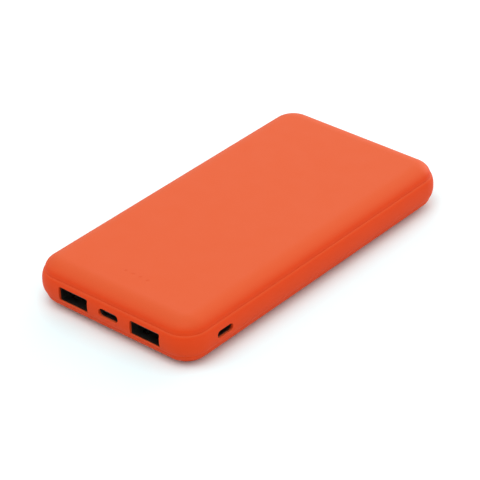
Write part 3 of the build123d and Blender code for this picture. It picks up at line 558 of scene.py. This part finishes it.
@dataclass
class PolymerCans:
    """Lathed aluminium cans with a rolled groove, standing on dark feet with rounded edges."""

    foot_height: float = 0.8 * MM
    foot_inset: float = 0.3 * MM
    foot_edge: float = 0.22 * MM
    can_radius: float = 2.98 * MM
    sides: int = 48
    smooth_under: float = 40
    groove: float = 0.14 * MM
    groove_from_foot: float = 0.45 * MM
    groove_slope: float = 0.20 * MM
    groove_floor: float = 0.25 * MM
    crown_rises: tuple[float, float] = (0.25 * MM, 0.20 * MM)
    crown_steps: tuple[float, float] = (0.08 * MM, 0.35 * MM)
    rim_width: float = 0.25 * MM
    dish_step: float = 0.15 * MM
    dish_depth: float = 0.08 * MM

    def profile(self, height: float) -> list[tuple[float, float]]:
        """Lists the can's outline.

        Args:
            height: The can's height.

        Returns:
            Rises and the radius at each, from the bottom up.
        """
        full = self.can_radius
        waist = full - self.groove
        rim = full - self.crown_steps[1] - self.rim_width
        lower = self.groove_from_foot + 2 * self.groove_slope + self.groove_floor
        return [
            (self.groove_from_foot, full),
            (self.groove_slope, waist),
            (self.groove_floor, waist),
            (self.groove_slope, full),
            (height - lower - sum(self.crown_rises), full),
            (self.crown_rises[0], full - self.crown_steps[0]),
            (self.crown_rises[1], full - self.crown_steps[1]),
            (0.0, rim),
            (-self.dish_depth, rim - self.dish_step),
        ]

    def can(self, x: float, y: float, bottom: float, height: float) -> bpy.types.Object:
        """Draws one can up from a disc, ring by ring.

        Args:
            x: Its middle across.
            y: Its middle along.
            bottom: Its underside.
            height: Its height.

        Returns:
            The can.
        """
        clear_selection()
        bpy.ops.mesh.primitive_circle_add(
            vertices=self.sides, radius=self.can_radius, fill_type="NGON", location=(x, y, bottom)
        )
        can = bpy.context.object
        bpy.ops.object.transform_apply(location=True, rotation=True, scale=True)
        pick(can, lambda face: True)
        radius = self.can_radius
        for rise, wanted in self.profile(height):
            bpy.ops.mesh.extrude_region_move(TRANSFORM_OT_translate={"value": (0, 0, rise)})
            ratio = wanted / radius
            bpy.ops.transform.resize(value=(ratio, ratio, 1), center_override=(x, y, 0))
            radius = wanted
        bpy.ops.mesh.select_all(action="SELECT")
        bpy.ops.mesh.normals_make_consistent(inside=False)
        leave()
        bpy.ops.object.shade_smooth_by_angle(angle=math.radians(self.smooth_under))
        return can

    def build(self) -> None:
        """Models both cans and their feet."""
        low, high = (Vector(corner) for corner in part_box("polymer_capacitors"))
        side = high.y - low.y
        y = (low.y + high.y) / 2
        bottom = low.z + self.foot_height
        cans = []
        feet = []
        for x in (low.x + side / 2, high.x - side / 2):
            cans.append(self.can(x, y, bottom, high.z - bottom))
            middle = (x, y, low.z + self.foot_height / 2)
            foot = start_box("capacitor_feet", (side, side, self.foot_height), middle)
            pick(foot, lambda face: face.normal.z > FLAT)
            bpy.ops.mesh.inset(thickness=self.foot_inset)
            leave()
            feet.append(bevelled(foot, self.foot_edge))
        fitted(joined("capacitor_cans", cans), CAN_ALUMINIUM, "capacitor_can", "polymer_capacitors")
        fitted(joined("capacitor_feet", feet), DARK_NYLON, "black_nylon")


@dataclass(frozen=True)
class LegRows:
    """The legs along the two long edges of a node's chips."""

    node: str
    chip_width: float
    count: int
    pitch: float


LEG_ROWS = (
    LegRows("power_controller", 5.0 * MM, 8, 0.55 * MM),
    LegRows("power_mosfets", 3.3 * MM, 4, 0.65 * MM),
    LegRows("protection_chips", 2.9 * MM, 3, 0.95 * MM),
)


@dataclass
class ChipLegs:
    """Gull-wing legs and flat pads along the edges of the moulded chips."""

    reach: float = 0.42 * MM
    width: float = 0.28 * MM
    sheet: float = 0.12 * MM
    height: float = 0.40 * MM
    pair_from: float = 1.5

    def leg(self) -> bpy.types.Object:
        """Models one leg at the origin: out of the body, down, and out along the board.

        Returns:
            The leg, reaching along +Y.
        """
        third = self.reach / 3
        leg = start_box("leg", (self.width, third, self.sheet), (0, third / 2, self.height))
        pick(leg, lambda face: face.normal.y > FLAT)
        for drop in (-self.height + self.sheet / 2, 0):
            bpy.ops.mesh.extrude_region_move(TRANSFORM_OT_translate={"value": (0, third, drop)})
        leave()
        return bevelled(leg, self.sheet / 5, 1)

    def row(self, leg: bpy.types.Object, rows: LegRows, middle_x: float) -> list[bpy.types.Object]:
        """Sets legs along a chip's two long edges.

        Args:
            leg: The leg to copy.
            rows: The chip's legs.
            middle_x: The chip's middle across.

        Returns:
            The legs.
        """
        low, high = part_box(rows.node)
        legs = []
        for index in range(rows.count):
            x = middle_x + (index - (rows.count - 1) / 2) * rows.pitch
            legs.append(copied(leg, (x, high[1], low[2])))
            legs.append(copied(leg, (x, low[1], low[2]), 180))
        return legs

    def build(self) -> None:
        """Sets the legs of the controller, the power switches and the protection chips."""
        leg = self.leg()
        legs = []
        for rows in LEG_ROWS:
            low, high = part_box(rows.node)
            middles = {low[0] + rows.chip_width / 2, high[0] - rows.chip_width / 2}
            if high[0] - low[0] < self.pair_from * rows.chip_width:
                middles = {(low[0] + high[0]) / 2}
            for middle_x in sorted(middles):
                legs += self.row(leg, rows, middle_x)
        bpy.data.objects.remove(leg)
        fitted(joined("chip_legs", legs), TIN_SOLDER, "solder")


@dataclass
class BoardFurniture:
    """Tinned rings round the board screws, and rows of plated through-holes between the parts."""

    ring_radius: float = 2.1 * MM
    ring_bore: float = 1.3 * MM
    ring_sides: int = 40
    screw_head: float = 1.8 * MM
    copper: float = 0.035 * MM
    via_radius: float = 0.22 * MM
    via_count: int = 9
    via_pitch: float = 0.9 * MM
    via_sides: int = 12
    via_rows: int = 2
    via_row_gap: float = 0.5 * MM
    via_from_chip: float = 0.95 * MM

    def ring(self, radius: float, bore: float, place: Sequence[float], sides: int) -> bpy.types.Object:
        """Models a flat ring on the board.

        Args:
            radius: Its outer radius.
            bore: The radius of its hole.
            place: The middle of its underside.
            sides: Faces round it.

        Returns:
            The ring.
        """
        x, y, z = place
        ring = start_disc("ring", radius, self.copper, (x, y, z + self.copper / 2), sides)
        pick(ring, lambda face: abs(face.normal.z) > FLAT)
        bpy.ops.mesh.inset(thickness=radius - bore, use_individual=True)
        bpy.ops.mesh.bridge_edge_loops()
        bpy.ops.mesh.select_all(action="SELECT")
        bpy.ops.mesh.normals_make_consistent(inside=False)
        leave()
        return bevelled(ring, self.copper / 4, 1)

    def build(self) -> None:
        """Lays the rings and the rows."""
        low, high = (Vector(corner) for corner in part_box("board_screws"))
        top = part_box("main_board")[1][2]
        head = self.screw_head
        rings = []
        for x in (low.x + head, high.x - head):
            for y in (low.y + head, high.y - head):
                rings.append(self.ring(self.ring_radius, self.ring_bore, (x, y, top), self.ring_sides))
        fitted(joined("screw_rings", rings), TIN_SOLDER, "solder")
        row_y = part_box("power_controller")[0][1] - self.via_from_chip
        first = self.ring(self.via_radius, self.via_radius / 2, (0, 0, 0), self.via_sides)
        vias = []
        for row in range(self.via_rows):
            for step in range(self.via_count):
                x = (step - (self.via_count - 1) / 2) * self.via_pitch
                vias.append(copied(first, (x, row_y + row * self.via_row_gap, top)))
        bpy.data.objects.remove(first)
        fitted(joined("through_holes", vias), GOLD_FLASH, "gold_contact")


@dataclass(frozen=True)
class Lamp:
    """A square soft box that faces the object from a bearing and a height, in degrees."""

    name: str
    bearing: float
    height: float
    power: float
    size: float = 0.6
    distance: float = 1.0

    def build(self) -> None:
        """Hangs the lamp."""
        turn = math.radians(self.bearing)
        rise = math.radians(self.height)
        outward = Vector((math.cos(turn) * math.cos(rise), math.sin(turn) * math.cos(rise), math.sin(rise)))
        data = bpy.data.lights.new(self.name, "AREA")
        data.shape = "SQUARE"
        data.size = self.size
        data.energy = self.power
        lamp = bpy.data.objects.new(self.name, data)
        lamp.rotation_mode = "QUATERNION"
        lamp.rotation_quaternion = outward.to_track_quat("Z", "Y")
        lamp.location = outward * self.distance
        bpy.context.scene.collection.objects.link(lamp)


LAMPS = (
    Lamp("far_right_box", 86.2, 14.0, 3.6),
    Lamp("near_right_box", -3.8, 14.0, 1.4),
    Lamp("back_box", 131.2, 25.0, 1.2),
    Lamp("near_left_box", 266.2, 70.0, 1.7),
    Lamp("camera_box", 311.2, 70.0, 1.2),
    Lamp("left_box", 221.2, 25.0, 0.9),
)


@dataclass
class Studio:
    """A pale floor, a soft white surround, soft boxes and the camera."""

    azimuth: float = 41.2
    elevation: float = 32.40
    roll: float = -1.56
    lens_mm: float = 178.67
    distance: float = 0.8144
    across: float = -0.0013
    above: float = 0.0033
    sensor_mm: float = 36.0
    clip: tuple[float, float] = (0.05, 50.0)
    floor_size: float = 12.0
    floor_colour: str = "EAFAFC"
    floor_roughness: float = 0.9
    surround: float = 0.87
    contrast: float = 0.85

    def floor(self) -> None:
        """Lays the floor under the object."""
        clear_selection()
        bpy.ops.mesh.primitive_plane_add(size=self.floor_size, location=(0, 0, 0))
        plane = bpy.context.object
        plane.name = "studio_floor"
        paper = bpy.data.materials.new("white_paper_floor")
        paper.use_nodes = True
        shader = paper.node_tree.nodes["Principled BSDF"]
        shader.inputs["Base Color"].default_value = linear(self.floor_colour)
        shader.inputs["Roughness"].default_value = self.floor_roughness
        shader.inputs["Specular IOR Level"].default_value = 0.0
        plane.data.materials.append(paper)

    def lights(self) -> None:
        """Sets the surround and hangs the soft boxes."""
        world = bpy.data.worlds.new("studio_surround")
        world.use_nodes = True
        backdrop = world.node_tree.nodes["Background"]
        backdrop.inputs["Strength"].default_value = self.surround
        backdrop.inputs["Color"].default_value = (1, 1, 1, 1)
        bpy.context.scene.world = world
        for lamp in LAMPS:
            lamp.build()

    def camera(self) -> None:
        """Places the camera."""
        turn = math.radians(self.azimuth)
        rise = math.radians(self.elevation)
        roll = math.radians(self.roll)
        back = Vector((math.sin(turn) * math.cos(rise), -math.cos(turn) * math.cos(rise), math.sin(rise)))
        level = Vector((math.cos(turn), math.sin(turn), 0))
        upright = back.cross(level)
        right = level * math.cos(roll) + upright * math.sin(roll)
        up = upright * math.cos(roll) - level * math.sin(roll)
        place = back * self.distance + right * self.across + up * self.above
        data = bpy.data.cameras.new("studio_camera")
        data.sensor_width = self.sensor_mm
        data.lens = self.lens_mm
        data.clip_start, data.clip_end = self.clip
        camera = bpy.data.objects.new("studio_camera", data)
        camera.matrix_world = Matrix.Translation(place) @ Matrix((right, up, back)).transposed().to_4x4()
        bpy.context.scene.collection.objects.link(camera)
        bpy.context.scene.camera = camera

    def build(self) -> None:
        """Makes the floor, lights and camera."""
        view = bpy.context.scene.view_settings
        view.view_transform = "Standard"
        view.gamma = self.contrast
        self.floor()
        self.lights()
        self.camera()


def main() -> None:
    """Builds the looks in order."""
    logging.basicConfig(level=logging.INFO, format="%(name)s: %(message)s")
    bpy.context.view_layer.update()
    Dressing(frame["nodes"]).build()
    PowerInductor().build()
    PolymerCans().build()
    ChipLegs().build()
    BoardFurniture().build()
    Studio().build()


if __name__ == "__main__":
    main()
